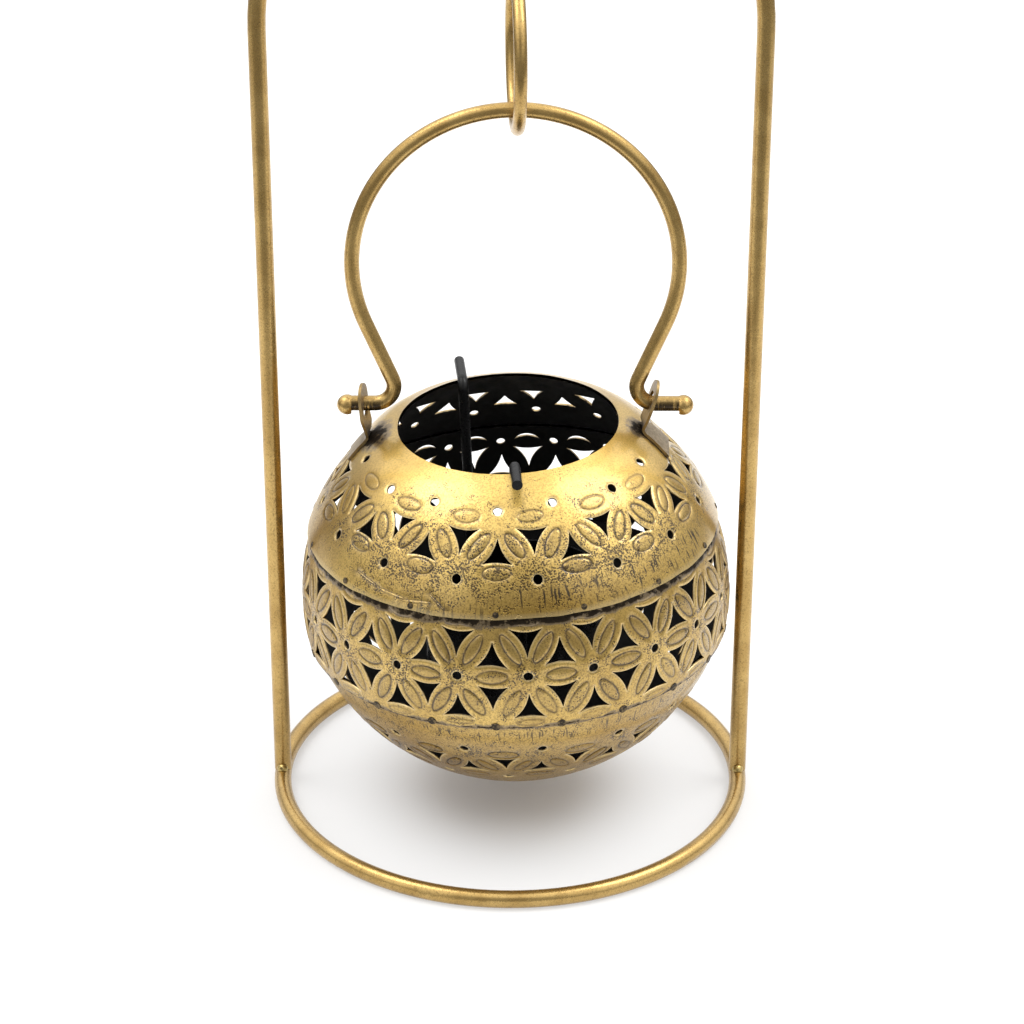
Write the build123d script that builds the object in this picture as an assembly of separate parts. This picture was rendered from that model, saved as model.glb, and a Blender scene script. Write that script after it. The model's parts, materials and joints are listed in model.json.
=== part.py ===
from build123d import *
import os
from collections import namedtuple
from math import asin, cos, degrees, hypot, pi, radians, sin, sqrt, tan

# All sizes are in millimetres and degrees. The origin is on the floor in the middle of the base ring,
# +Z is up and the front of the lantern looks along -Y. The globe and its candle cradle are drawn about
# the middle of the globe and then hung in place. Azimuths are counted from the front towards +X.

# Sheet brass of the globe and its lapped seams
sheet = 0.9
seam_gap = 0.3
seam_lap = 3.0

# Globe profile, with heights counted from the middle of the globe
band_r = 68.4
band_hub_h = -6.6
band_bottom_h = -18.6
dome_bulge = 61.2
dome_rim_h = 18.0
mouth_r = 34.4
mouth_h = 51.3
bowl_bottom_h = -67.5

# How the globe hangs: its height, and the small lean that its hand-bent lugs give it
globe_clear = 11.0
hang_x = 1.4
globe_roll = 2.4
globe_pitch = 0.5

# Pierced flower lattice. Rows are altitudes on each shell's arc, and a punched triangle is measured
# from its middle to its tips and to the waists of its hollow sides.
hole_d = 2.8
band_tip = 5.55
band_waist = 2.05
band_count = 21
band_phase = 3.0
band_row_h = -0.3
cap_tip = 5.05
cap_waist = 1.85
dome_count = 15
dome_phase = 7.5
dome_row_low = 33.7
dome_row_high = 49.4
dome_hole_low = 32.5
dome_hole_high = 53.1
bowl_count = 15
bowl_phase = 6.7
bowl_row_high = -30.2
bowl_row_low = -43.0
bowl_hole_high = -27.7
bowl_hole_low = -45.3

# Tacks that hold the seams
tack_d = 1.9
tack_rise = 1.4
tack_proud = 0.15
join_gap = 0.05

# Lugs brazed on the dome
lug_sheet = 0.9
lug_w = 9.5
lug_top = 7.3
lug_x = 44.7
lug_yaw = 12.0
left_lean = 3.0
right_lean = 19.0
left_foot = 6.5
right_foot = 7.5
pin_h = 58.4
pin_slack = 0.35

# Bail with its bent-out pins and end balls
bail_wire_d = 4.75
bail_r = 50.0
bail_leave = 23.0
elbow_r = 6.0
elbow_to_lug = 1.0
ball_proud = 0.8
ball_drop = 0.5
ball_to_lug = 7.7

# Ring and hook that the bail hangs from
ring_wire_d = 4.0
ring_r = 22.5
ring_yaw = 3.4
link_gap = 0.3
hook_wire_d = 4.0
hook_loop_r = 8.0
hook_tip = 160.0
stem_len = 39.0

# Stand
rod_d = 5.5
side_gap = 3.85
foot_flat = 0.3
cope_depth = 1.3
foot_bead_d = 3.6
hook_bead_d = 7.0

# Candle cradle that hangs in the mouth
cradle_wire_d = 3.3
cradle_bend_r = 3.0
rest_gap = 0.3
leg_r = 31.4
front_leg_az = 3.5
rear_leg_az = -152.5
front_arm_len = 14.6
rear_arm_len = 17.0
rear_arm_az = -175.0
cup_wall = 0.9
cup_depth = 24.0
cup_drop = 56.4
leg_over_cup = 20.0

Arc = namedtuple("Arc", "hub_r hub_h radius")

# Heights above the floor, worked out from the floor upwards
mid_z = globe_clear - bowl_bottom_h
pin_z = mid_z + pin_h
pin_start = lug_x - elbow_to_lug
elbow_z = pin_z + elbow_r
bail_z = elbow_z + (bail_r + elbow_r - pin_start * cos(radians(bail_leave))) / sin(radians(bail_leave))
bail_top_z = bail_z + bail_r
ring_bottom_z = bail_top_z - (bail_wire_d + ring_wire_d) / 2 - link_gap
ring_top_z = ring_bottom_z + 2 * ring_r
hook_bottom_z = ring_top_z - (ring_wire_d + hook_wire_d) / 2 - link_gap
hook_z = hook_bottom_z + hook_loop_r
hook_neck_z = hook_z + sqrt(3) * hook_loop_r
crown_z = hook_neck_z + stem_len + rod_d / 2

# The stand, round the globe at its widest
base_r = band_r + side_gap + rod_d / 2
base_z = rod_d / 2 - foot_flat
spring_z = crown_z - base_r

# The candle cradle, with heights counted from the middle of the globe
arm_h = mouth_h + cradle_wire_d / 2 + rest_gap
cup_r = leg_r - cradle_wire_d / 2 - join_gap
cup_top_h = mouth_h - cup_drop

# Places of the hanging pieces
on_hook = Pos(hang_x, 0, 0)
hang = Pos(hang_x, 0, mid_z) * Rot(globe_pitch, -globe_roll, 0)

# The band is a zone of a ball, and its rows of flowers stand in equal-sided triangles
band = Arc(0, band_hub_h, band_r)
band_rows_apart = degrees(sqrt(3) * pi / band_count)


def arc_alt(arc, height):
    """Altitude on an arc of a height above the globe's middle."""
    return degrees(asin((height - arc.hub_h) / arc.radius))


def arc_r(arc, height):
    """Radius from the upright axis of an arc at a height above the globe's middle."""
    return arc.hub_r + sqrt(arc.radius ** 2 - (height - arc.hub_h) ** 2)


def dome_arc():
    """Arc of the dome: through the mouth's edge, and over the band with the seam's gap at its rim."""
    tilt = cos(radians(arc_alt(band, dome_rim_h)))
    rim_r = arc_r(band, dome_rim_h) + (seam_gap + sheet) / tilt
    chord_r = mouth_r - rim_r
    chord_h = mouth_h - dome_rim_h
    chord = hypot(chord_r, chord_h)
    reach = sqrt(dome_bulge ** 2 - chord ** 2 / 4) / chord
    hub_r = (mouth_r + rim_r) / 2 - chord_h * reach
    hub_h = (mouth_h + dome_rim_h) / 2 + chord_r * reach
    return Arc(hub_r, hub_h, dome_bulge)


def bowl_arc():
    """Ball of the bowl: inside the band's lower edge with the seam's gap, down to its lowest point."""
    tilt = cos(radians(arc_alt(band, band_bottom_h)))
    rim_r = arc_r(band, band_bottom_h) - (seam_gap + sheet) / tilt
    hub_h = (rim_r ** 2 + band_bottom_h ** 2 - bowl_bottom_h ** 2) / (2 * (band_bottom_h - bowl_bottom_h))
    return Arc(0, hub_h, hub_h - bowl_bottom_h)


dome = dome_arc()
bowl = bowl_arc()


def profile_point(arc, radius, alt):
    """Point of a shell's profile in the XZ plane."""
    return (arc.hub_r + radius * cos(radians(alt)), 0, arc.hub_h + radius * sin(radians(alt)))


def shell(arc, alt_low, alt_high):
    """Sheet spun about the upright axis, with its edges cut square to the sheet."""
    inner = arc.radius - sheet
    alt_mid = (alt_low + alt_high) / 2
    outline = [
        ThreePointArc(*[profile_point(arc, arc.radius, alt) for alt in (alt_low, alt_mid, alt_high)]),
        Line(profile_point(arc, arc.radius, alt_high), profile_point(arc, inner, alt_high)),
        ThreePointArc(*[profile_point(arc, inner, alt) for alt in (alt_high, alt_mid, alt_low)]),
        Line(profile_point(arc, inner, alt_low), profile_point(arc, arc.radius, alt_low)),
    ]
    return revolve(make_face(outline), Axis.Z, 360)


def core(arc, grow, alt_low, alt_high):
    """Solid body inside an arc's outer face, grown by a distance, for trimming what lies on it."""
    radius = arc.radius + grow
    low = profile_point(arc, radius, alt_low)
    high = profile_point(arc, radius, alt_high)
    outline = [
        ThreePointArc(low, profile_point(arc, radius, (alt_low + alt_high) / 2), high),
        Line(high, (0, 0, high[2])),
        Line((0, 0, high[2]), (0, 0, low[2])),
        Line((0, 0, low[2]), low),
    ]
    return revolve(make_face(outline), Axis.Z, 360)


def at_azimuth(r, az, z):
    """Point at a radius and an azimuth from the front."""
    return Vector(r * sin(radians(az)), -r * cos(radians(az)), z)


def face_plane(arc, alt, az):
    """Plane on a shell's outer face: its X runs towards +azimuth and its Z points out of the shell."""
    r, _, z = profile_point(arc, arc.radius, alt)
    outward = at_azimuth(cos(radians(alt)), az, sin(radians(alt)))
    return Plane(origin=at_azimuth(r, az, z), x_dir=at_azimuth(1, az + 90, 0), z_dir=outward)


def triangle_punch(arc, alt, az, tip, waist, points_up):
    """Cutter for one gap between three petals: a triangle with hollow sides."""
    turn = 90 if points_up else -90
    tips = [(tip * cos(radians(turn + 120 * i)), tip * sin(radians(turn + 120 * i))) for i in range(3)]
    waists = [(-waist / tip * x, -waist / tip * y) for x, y in tips]
    sides = [ThreePointArc(tips[i], waists[i - 1], tips[(i + 1) % 3]) for i in range(3)]
    return face_plane(arc, alt, az) * extrude(make_face(sides), amount=2 * sheet, both=True)


def round_punch(arc, alt, az, diameter):
    """Cutter for one round hole."""
    return face_plane(arc, alt, az) * Cylinder(diameter / 2, 4 * sheet)


def lattice_cuts(arc, up_row, down_row, low_alt, high_alt, tip, waist):
    """Both rows of triangles between two rows of flowers: points up below, points down above."""
    third = (high_alt - low_alt) / 3
    cuts = [triangle_punch(arc, low_alt + third, az, tip, waist, True) for az in up_row]
    return cuts + [triangle_punch(arc, high_alt - third, az, tip, waist, False) for az in down_row]


def row(count, phase, steps=0):
    """Azimuths of one row of flowers, moved on by some steps."""
    return [phase + (i + steps) * 360 / count for i in range(count)]


def wire(diameter, *edges):
    """Round wire along a path of straight runs and tangent arcs."""
    path = Wire(edges)
    section = Plane(origin=path @ 0, z_dir=path % 0) * Circle(diameter / 2)
    return sweep(section, path=path)


def make_middle_band():
    mid_alt = arc_alt(band, band_row_h)
    low_alt = mid_alt - band_rows_apart
    high_alt = mid_alt + band_rows_apart
    flowers = row(band_count, band_phase)
    between = row(band_count, band_phase, 0.5)
    cuts = lattice_cuts(band, between, flowers, mid_alt, high_alt, band_tip, band_waist)
    cuts += lattice_cuts(band, flowers, between, low_alt, mid_alt, band_tip, band_waist)
    cuts += [round_punch(band, mid_alt, az, hole_d) for az in flowers]
    cuts += [round_punch(band, low_alt, az, hole_d) for az in between]
    return shell(band, arc_alt(band, band_bottom_h), arc_alt(band, dome_rim_h + seam_lap)) - cuts


def make_dome():
    flowers = row(dome_count, dome_phase)
    between = row(dome_count, dome_phase, 0.5)
    cuts = lattice_cuts(dome, between, flowers, dome_row_low, dome_row_high, cap_tip, cap_waist)
    cuts += [round_punch(dome, dome_hole_low, az, hole_d) for az in flowers]
    cuts += [round_punch(dome, dome_hole_high, az, hole_d) for az in between]
    cuts += [round_punch(dome, rim_tack_alt(), az, tack_d + 2 * join_gap) for az in between]
    return shell(dome, arc_alt(dome, dome_rim_h), arc_alt(dome, mouth_h)) - cuts


def make_lower_bowl():
    flowers = row(bowl_count, bowl_phase)
    between = row(bowl_count, bowl_phase, 0.5)
    cuts = lattice_cuts(bowl, flowers, between, bowl_row_low, bowl_row_high, cap_tip, cap_waist)
    cuts += [round_punch(bowl, bowl_hole_high, az, hole_d) for az in flowers]
    cuts += [round_punch(bowl, bowl_hole_low, az, hole_d) for az in between]
    return shell(bowl, -90, arc_alt(bowl, band_bottom_h + seam_lap)) - cuts


def rim_tack_alt():
    """Altitude of the tacks just above the dome's rim."""
    return arc_alt(dome, dome_rim_h) + degrees(tack_rise / dome_bulge)


def plug(arc, alt, az, diameter, under):
    """Tack metal in a hole of the upper sheet, down to the sheet under it."""
    depth = 3 * sheet
    pin = Pos(0, 0, tack_proud - depth / 2) * Cylinder(diameter / 2, depth)
    return face_plane(arc, alt, az) * pin - under


def make_upper_seam_tacks():
    under = core(band, join_gap, 0, arc_alt(band, dome_rim_h + 2 * seam_lap))
    return [plug(dome, rim_tack_alt(), az, tack_d, under) for az in row(dome_count, dome_phase, 0.5)]


def make_lower_seam_tacks():
    under = core(bowl, join_gap, arc_alt(bowl, band_bottom_h - 2 * seam_lap), 0)
    low_alt = arc_alt(band, band_row_h) - band_rows_apart
    diameter = hole_d - 2 * join_gap
    return [plug(band, low_alt, az, diameter, under) for az in row(band_count, band_phase, 0.5)]


def make_lug(side, lean, foot):
    """Bent strip: a round-topped plate with the pin's hole, and a foot that lies along the dome."""
    pin = hang.inverse() * Pos(hang_x + side * lug_x, 0, pin_z)
    pin_r = abs(pin.position.X)
    dome_h = dome.hub_h + sqrt(dome.radius ** 2 - (pin_r - dome.hub_r) ** 2)
    drop = pin.position.Z - dome_h
    round_h = lug_top - lug_w / 2
    outline = Rectangle(lug_w, round_h + 2 * drop, align=(Align.CENTER, Align.MAX)) + Circle(lug_w / 2)
    plate = extrude(Plane.YZ * Pos(0, round_h) * outline, amount=lug_sheet / 2, both=True)
    plate = Pos(pin.position) * Rot(0, side * lean, side * lug_yaw) * plate
    under = core(dome, join_gap, 0, 90)
    strip = core(dome, join_gap + lug_sheet, 0, 90) - under
    bend_r = pin_r - tan(radians(lean)) * drop
    reach = Rot(0, 0, side * lug_yaw) * Box(foot, lug_w, 4 * drop)
    reach = Pos(side * (bend_r + foot / 2), 0, dome_h) * reach
    pin_hole = pin * Rot(0, 90, 0) * Cylinder(bail_wire_d / 2 + pin_slack, lug_w)
    return plate - under + (strip & reach) - pin_hole


def make_bail():
    leave = radians(bail_leave)
    leg = Vector(cos(leave), 0, -sin(leave))
    ring_end = Vector(0, 0, bail_z) + leg * bail_r
    elbow_start = Vector(pin_start, 0, elbow_z) - leg * elbow_r
    elbow_turn = radians(90 + bail_leave) / 2
    elbow_mid = Vector(pin_start - elbow_r * sin(elbow_turn), 0, elbow_z - elbow_r * cos(elbow_turn))
    right = [Vector(pin_end(), 0, pin_z), Vector(pin_start, 0, pin_z), elbow_mid, elbow_start, ring_end]
    left = [Vector(-p.X, 0, p.Z) for p in right]
    return wire(
        bail_wire_d,
        Line(left[0], left[1]),
        ThreePointArc(left[1], left[2], left[3]),
        Line(left[3], left[4]),
        ThreePointArc(left[4], (0, 0, bail_top_z), right[4]),
        Line(right[4], right[3]),
        ThreePointArc(right[3], right[2], right[1]),
        Line(right[1], right[0]),
    )


def pin_end():
    """Where each pin meets its ball: the ball's flat seat just covers the pin."""
    ball_r = bail_wire_d / 2 + ball_proud
    return lug_x + ball_to_lug - sqrt(ball_r ** 2 - (bail_wire_d / 2 + ball_drop) ** 2)


def make_end_ball(side):
    ball_r = bail_wire_d / 2 + ball_proud
    ball = Pos(lug_x + ball_to_lug, 0, pin_z - ball_drop) * Sphere(ball_r)
    wide = 4 * ball_r
    seat = Pos(pin_end() - wide / 2, 0, pin_z) * Box(wide, wide, wide)
    ball = ball - seat
    return ball if side > 0 else mirror(ball, Plane.YZ)


def make_hang_ring():
    upright = Rot(0, 0, ring_yaw) * Rot(0, 90, 0)
    return Pos(0, 0, ring_bottom_z + ring_r) * upright * Torus(ring_r, ring_wire_d / 2)


def make_hanger_hook():
    r = hook_loop_r
    neck_hub = Vector(r, 0, hook_neck_z)
    loop_hub = Vector(0, 0, hook_z)
    meet = (neck_hub + loop_hub) / 2
    tip = loop_hub + Vector(r * cos(radians(hook_tip)), 0, r * sin(radians(hook_tip)))
    hook = wire(
        hook_wire_d,
        Line((0, 0, crown_z - rod_d / 4), (0, 0, hook_neck_z)),
        ThreePointArc((0, 0, hook_neck_z), neck_hub - Vector(r * cos(pi / 6), 0, r * sin(pi / 6)), meet),
        ThreePointArc(meet, (0, 0, hook_bottom_z), tip),
    )
    return hook - crown(rod_d + 2 * join_gap)


def crown(diameter):
    """The arch's round rod as a whole ring, seen from the hook, which sits beside the arch's middle."""
    return Pos(-hang_x, 0, spring_z) * Rot(90, 0, 0) * Torus(base_r, diameter / 2)


def base_torus(diameter):
    """The base ring's round rod, before its flat."""
    return Pos(0, 0, base_z) * Torus(base_r, diameter / 2)


def make_base_ring():
    below = Box(3 * base_r, 3 * base_r, rod_d, align=(Align.CENTER, Align.CENTER, Align.MAX))
    return base_torus(rod_d) - below


def make_stand_arch():
    foot_z = base_z + rod_d / 2 - cope_depth
    arch = wire(
        rod_d,
        Line((-base_r, 0, foot_z), (-base_r, 0, spring_z)),
        ThreePointArc((-base_r, 0, spring_z), (0, 0, crown_z), (base_r, 0, spring_z)),
        Line((base_r, 0, spring_z), (base_r, 0, foot_z)),
    )
    return arch - base_torus(rod_d + 2 * join_gap)


def make_foot_weld(side):
    """Beads in front of and behind the upright, in the corner that it makes with the ring."""
    corner_z = base_z + rod_d / 2
    upright = Pos(base_r, 0, corner_z) * Cylinder(rod_d / 2 + join_gap, 4 * rod_d)
    beads = []
    for way in (-1, 1):
        bead = Pos(side * base_r, way * rod_d / 2, corner_z) * Sphere(foot_bead_d / 2)
        bead = bead - base_torus(rod_d + 2 * join_gap)
        beads.append(bead - Pos((side - 1) * base_r, 0, 0) * upright)
    return beads


def make_hook_weld():
    stem = Pos(0, 0, crown_z - rod_d) * Cylinder(hook_wire_d / 2 + join_gap, 2 * rod_d)
    bead = Pos(0, 0, crown_z - rod_d / 2) * Sphere(hook_bead_d / 2)
    above = Pos(0, 0, crown_z + rod_d / 2) * Box(2 * rod_d, 2 * rod_d, rod_d)
    return bead - crown(rod_d + 2 * join_gap) - stem - above


def make_hook_wire(leg_az, arm_az, arm_len):
    """Leg up from the cup, bent over the mouth's edge into a level arm."""
    outward = at_azimuth(1, arm_az, 0)
    top = at_azimuth(leg_r, leg_az, arm_h - cradle_bend_r)
    hub = top + outward * cradle_bend_r
    bend_mid = hub - outward * (cradle_bend_r * cos(pi / 4)) + Vector(0, 0, cradle_bend_r * sin(pi / 4))
    arm = hub + Vector(0, 0, cradle_bend_r)
    return wire(
        cradle_wire_d,
        Line(at_azimuth(leg_r, leg_az, cup_top_h - leg_over_cup), top),
        ThreePointArc(top, bend_mid, arm),
        Line(arm, top + outward * arm_len + Vector(0, 0, cradle_bend_r)),
    )


def make_tealight_cup():
    up = (Align.CENTER, Align.CENTER, Align.MIN)
    outside = Cylinder(cup_r, cup_depth + cup_wall, align=up)
    inside = Pos(0, 0, cup_wall) * Cylinder(cup_r - cup_wall, cup_depth + cup_wall, align=up)
    return Pos(0, 0, cup_top_h - cup_depth - cup_wall) * (outside - inside)


stand = {
    "base_ring": make_base_ring(),
    "stand_arch": make_stand_arch(),
    "left_foot_weld": make_foot_weld(-1),
    "right_foot_weld": make_foot_weld(1),
}
chain = {
    "hanger_hook": make_hanger_hook(),
    "hook_weld": make_hook_weld(),
    "hang_ring": make_hang_ring(),
    "bail": make_bail(),
    "left_end_ball": make_end_ball(-1),
    "right_end_ball": make_end_ball(1),
}
globe = {
    "dome": make_dome(),
    "middle_band": make_middle_band(),
    "lower_bowl": make_lower_bowl(),
    "left_lug": make_lug(-1, left_lean, left_foot),
    "right_lug": make_lug(1, right_lean, right_foot),
    "upper_seam_tacks": make_upper_seam_tacks(),
    "lower_seam_tacks": make_lower_seam_tacks(),
    "front_hook_wire": make_hook_wire(front_leg_az, front_leg_az, front_arm_len),
    "rear_hook_wire": make_hook_wire(rear_leg_az, rear_arm_az, rear_arm_len),
    "tealight_cup": make_tealight_cup(),
}

os.makedirs("parts", exist_ok=True)
for group, place in ((stand, Pos(0, 0, 0)), (chain, on_hook), (globe, hang)):
    for name, shape in group.items():
        pieces = shape if isinstance(shape, list) else [shape]
        solids = [place * solid for piece in pieces for solid in piece.solids()]
        export_step(Compound(children=solids), f"parts/{name}.step")
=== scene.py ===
import json
import math
import random

import bpy
import numpy as np
from mathutils import Matrix, Vector
from mathutils.geometry import delaunay_2d_cdt


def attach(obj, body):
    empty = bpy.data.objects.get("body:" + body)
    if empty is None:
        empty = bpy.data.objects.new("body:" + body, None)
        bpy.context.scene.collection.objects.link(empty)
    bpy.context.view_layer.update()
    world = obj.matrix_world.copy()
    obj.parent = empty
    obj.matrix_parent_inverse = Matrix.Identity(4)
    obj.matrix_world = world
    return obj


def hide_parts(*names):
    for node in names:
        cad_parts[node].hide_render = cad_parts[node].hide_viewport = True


# Angles are in degrees. Sizes are in millimetres, or in metres inside materials and on the stage. The globe's
# pieces are drawn about the middle of the globe and then hung as in the solids. Azimuths run from the front
# (-Y) towards +X, and altitudes rise from the level of a sheet's own hub.
MM = 0.001
SHEET = 0.9
PIN_H = 58.4
GLOBE_PITCH = 0.5
GLOBE_ROLL = 2.4

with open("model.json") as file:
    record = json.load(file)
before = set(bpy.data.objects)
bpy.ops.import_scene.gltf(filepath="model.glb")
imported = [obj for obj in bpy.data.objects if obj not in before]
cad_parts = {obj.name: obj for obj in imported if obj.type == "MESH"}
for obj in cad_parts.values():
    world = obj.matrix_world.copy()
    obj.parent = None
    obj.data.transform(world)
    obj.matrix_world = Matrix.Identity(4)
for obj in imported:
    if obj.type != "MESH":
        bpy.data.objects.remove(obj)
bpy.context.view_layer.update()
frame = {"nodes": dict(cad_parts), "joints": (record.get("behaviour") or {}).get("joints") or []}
nodes = frame["nodes"]
scene = bpy.context.scene

# The bail's pins lie PIN_H over the middle of the globe.
pins = next(joint["pos_m"] for joint in frame["joints"] if joint["name"] == "bail_pivot")
hang = (
    Matrix.Translation((pins[0] / MM, 0, pins[2] / MM - PIN_H))
    @ Matrix.Rotation(math.radians(GLOBE_PITCH), 4, "X")
    @ Matrix.Rotation(math.radians(-GLOBE_ROLL), 4, "Y")
)
hang_turn = np.array(hang.to_3x3())
hang_shift = np.array(hang.translation)


class Tree:
    """Node tree of a material or the world, with short ways to add nodes."""

    def __init__(self, owner, shader="Principled BSDF"):
        self.owner = owner
        owner.use_nodes = True
        self.nodes = owner.node_tree.nodes
        self.links = owner.node_tree.links
        self.shader = self.nodes[shader]

    def put(self, socket, value):
        if isinstance(value, bpy.types.NodeSocket):
            self.links.new(value, socket)
        elif socket.type == "RGBA" and len(value) == 3:
            socket.default_value = (*value, 1)
        else:
            socket.default_value = value

    def add(self, kind, inputs=None, **settings):
        node = self.nodes.new(kind)
        for name, value in settings.items():
            setattr(node, name, value)
        for name, value in (inputs or {}).items():
            self.put(node.inputs[name], value)
        return node

    def attribute(self, name):
        return self.add("ShaderNodeAttribute", attribute_name=name).outputs["Fac"]

    def place(self):
        return self.add("ShaderNodeTexCoord").outputs["Object"]

    def noise(self, where, scale, detail=2, rough=0.5):
        inputs = {"Vector": where, "Scale": scale, "Detail": detail, "Roughness": rough}
        return self.add("ShaderNodeTexNoise", inputs).outputs["Fac"]

    def ramp(self, value, low, high, to_low=0.0, to_high=1.0):
        inputs = {"Value": value, "From Min": low, "From Max": high, "To Min": to_low, "To Max": to_high}
        return self.add("ShaderNodeMapRange", inputs, interpolation_type="SMOOTHSTEP").outputs["Result"]

    def math(self, how, a, b=0):
        return self.add("ShaderNodeMath", {0: a, 1: b}, operation=how).outputs[0]

    def mix(self, share, a, b):
        return self.add("ShaderNodeMix", {0: share, 6: a, 7: b}, data_type="RGBA").outputs[2]

    def split(self, where, axis):
        return self.add("ShaderNodeSeparateXYZ", {"Vector": where}).outputs[axis]

    def stretch(self, where, scale):
        return self.add("ShaderNodeMapping", {"Vector": where, "Scale": scale}).outputs["Vector"]

    def bump(self, height, depth):
        inputs = {"Height": height, "Distance": depth, "Strength": 1.0}
        return self.add("ShaderNodeBump", inputs).outputs["Normal"]

    def seen(self, mirrored=1.0):
        """One where a thing is seen directly, and as much as mirrored says where metal or glass shows it."""
        rays = self.add("ShaderNodeLightPath").outputs
        mirror = self.math("MAXIMUM", rays["Is Glossy Ray"], rays["Is Transmission Ray"])
        return self.math("MAXIMUM", rays["Is Camera Ray"], self.math("MULTIPLY", mirror, mirrored))

    def set(self, **values):
        for name, value in values.items():
            self.put(self.shader.inputs[name.replace("_", " ")], value)
        return self.owner


def shell_brass():
    """Antique brass sheet: satin, pitted, dark in the grooves and bright on the cut edges; its stain and
    patina marks also paint shadow and shade.
    """
    dim, bright, aged = (0.60, 0.392, 0.089), (0.745, 0.509, 0.134), (0.27, 0.155, 0.032)
    sandy, pitted, scratched = (0.20, 0.118, 0.026), (0.045, 0.026, 0.008), (0.06, 0.04, 0.016)
    bare, sooty = (0.78, 0.64, 0.36), (0.036, 0.021, 0.008)
    # Hazy and burnt colour the burns and also the painted shadow of the stain mark.
    hazy, burnt = (0.17, 0.135, 0.10), (0.026, 0.018, 0.010)
    t = Tree(bpy.data.materials.new("shell_brass"))
    here = t.place()
    groove = t.attribute("groove")
    pits = t.attribute("pits")
    patina = t.attribute("patina")

    cloud = t.ramp(t.noise(here, 60, detail=3, rough=0.6), 0.3, 0.7)
    grain = t.noise(here, 1700, rough=0.7)
    sand = t.math("MULTIPLY", t.ramp(grain, 0.42, 0.64), t.ramp(pits, 0.1, 0.7, 0.32, 0.75))
    # Patina, with painted shade on the band's sides and at the dome's far left.
    tone = t.mix(patina, t.mix(cloud, dim, bright), aged)
    tone = t.mix(sand, tone, sandy)

    # Round pits, more and larger where the sheet is worn.
    wear = t.math("ADD", pits, t.ramp(t.noise(here, 330), 0.3, 0.7, -0.36, 0.30))
    dots = t.add("ShaderNodeTexVoronoi", {"Vector": here, "Scale": 1650}).outputs["Distance"]
    pit = t.ramp(t.math("SUBTRACT", t.ramp(wear, 0.0, 1.0, 0.04, 0.62), dots), 0.0, 0.16)
    tone = t.mix(t.math("MULTIPLY", pit, 0.88), tone, pitted)

    # Upright scratches on the unrolled sheet, and bare metal on the edges.
    sheet = t.add("ShaderNodeUVMap", uv_map="sheet").outputs["UV"]
    strokes = t.ramp(t.noise(t.stretch(sheet, (120, 15, 1)), 1, detail=1), 0.58, 0.66)
    strokes = t.math("MULTIPLY", strokes, t.attribute("scratch"))
    tone = t.mix(strokes, tone, scratched)
    tone = t.mix(t.math("MULTIPLY", t.attribute("edge"), 0.5), tone, bare)

    # Soot in the grooves, and burnt stains with a hazy rim. The same stain mark paints shadow under the
    # dome's rim, under the lugs' feet, in the lower seam and on the unrubbed rims.
    soot = t.noise(here, 420, detail=3, rough=0.6)
    tone = t.mix(t.math("MULTIPLY", groove, t.ramp(soot, 0.2, 0.6, 0.5, 1.0)), tone, sooty)
    stain_shade_share = t.math("MULTIPLY", t.attribute("stain"), t.ramp(soot, 0.3, 0.65, 0.5, 1.35))
    tone = t.mix(t.ramp(stain_shade_share, 0.08, 0.45, 0.0, 0.8), tone, hazy)
    tone = t.mix(t.ramp(stain_shade_share, 0.45, 0.85), tone, burnt)

    rough = t.ramp(grain, 0.3, 0.7, 0.34, 0.46)
    rough = t.math("MAXIMUM", rough, t.math("MULTIPLY", t.math("MAXIMUM", groove, stain_shade_share), 0.6))
    height = t.math("SUBTRACT", t.math("MULTIPLY", grain, 0.35), t.math("MAXIMUM", pit, strokes))
    return t.set(
        Base_Color=tone,
        Metallic=0.92,
        Roughness=rough,
        Normal=t.bump(height, 0.00010),
        Coat_Weight=t.ramp(t.math("MAXIMUM", stain_shade_share, patina), 0.2, 0.7, 0.75, 0.05),
        Coat_Roughness=0.2,
        Coat_IOR=1.6,
    )


def black_inside():
    """Sooty black paint on the inside of the globe, worn off about the mouth."""
    soot, paint, bare = (0.004, 0.004, 0.004), (0.012, 0.012, 0.011), (0.17, 0.125, 0.07)
    t = Tree(bpy.data.materials.new("globe_inside"))
    here = t.place()
    cloud = t.noise(here, 160, detail=3, rough=0.6)
    flakes = t.ramp(t.noise(here, 260, detail=3, rough=0.65), 0.4, 0.62)
    worn = t.math("MULTIPLY", t.attribute("edge"), flakes)
    return t.set(
        Base_Color=t.mix(worn, t.mix(cloud, soot, paint), bare),
        Roughness=t.ramp(cloud, 0.3, 0.7, 0.55, 0.75),
        Normal=t.bump(t.noise(here, 900), 0.00005),
    )


def worn_pins(t, here):
    """One where the lugs hang on the bail's pins and where the balls were turned on, in dark rings."""
    out = t.math("ABSOLUTE", t.math("SUBTRACT", t.split(here, "X"), pins[0]))
    below = t.ramp(t.split(here, "Z"), pins[2] + 0.0029, pins[2] - 0.0001)
    rings = t.ramp(t.noise(t.stretch(here, (1100, 260, 260)), 1), 0.34, 0.54)
    return t.math("MULTIPLY", t.math("MULTIPLY", t.ramp(out, 0.0385, 0.0425), below), rings)


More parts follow.
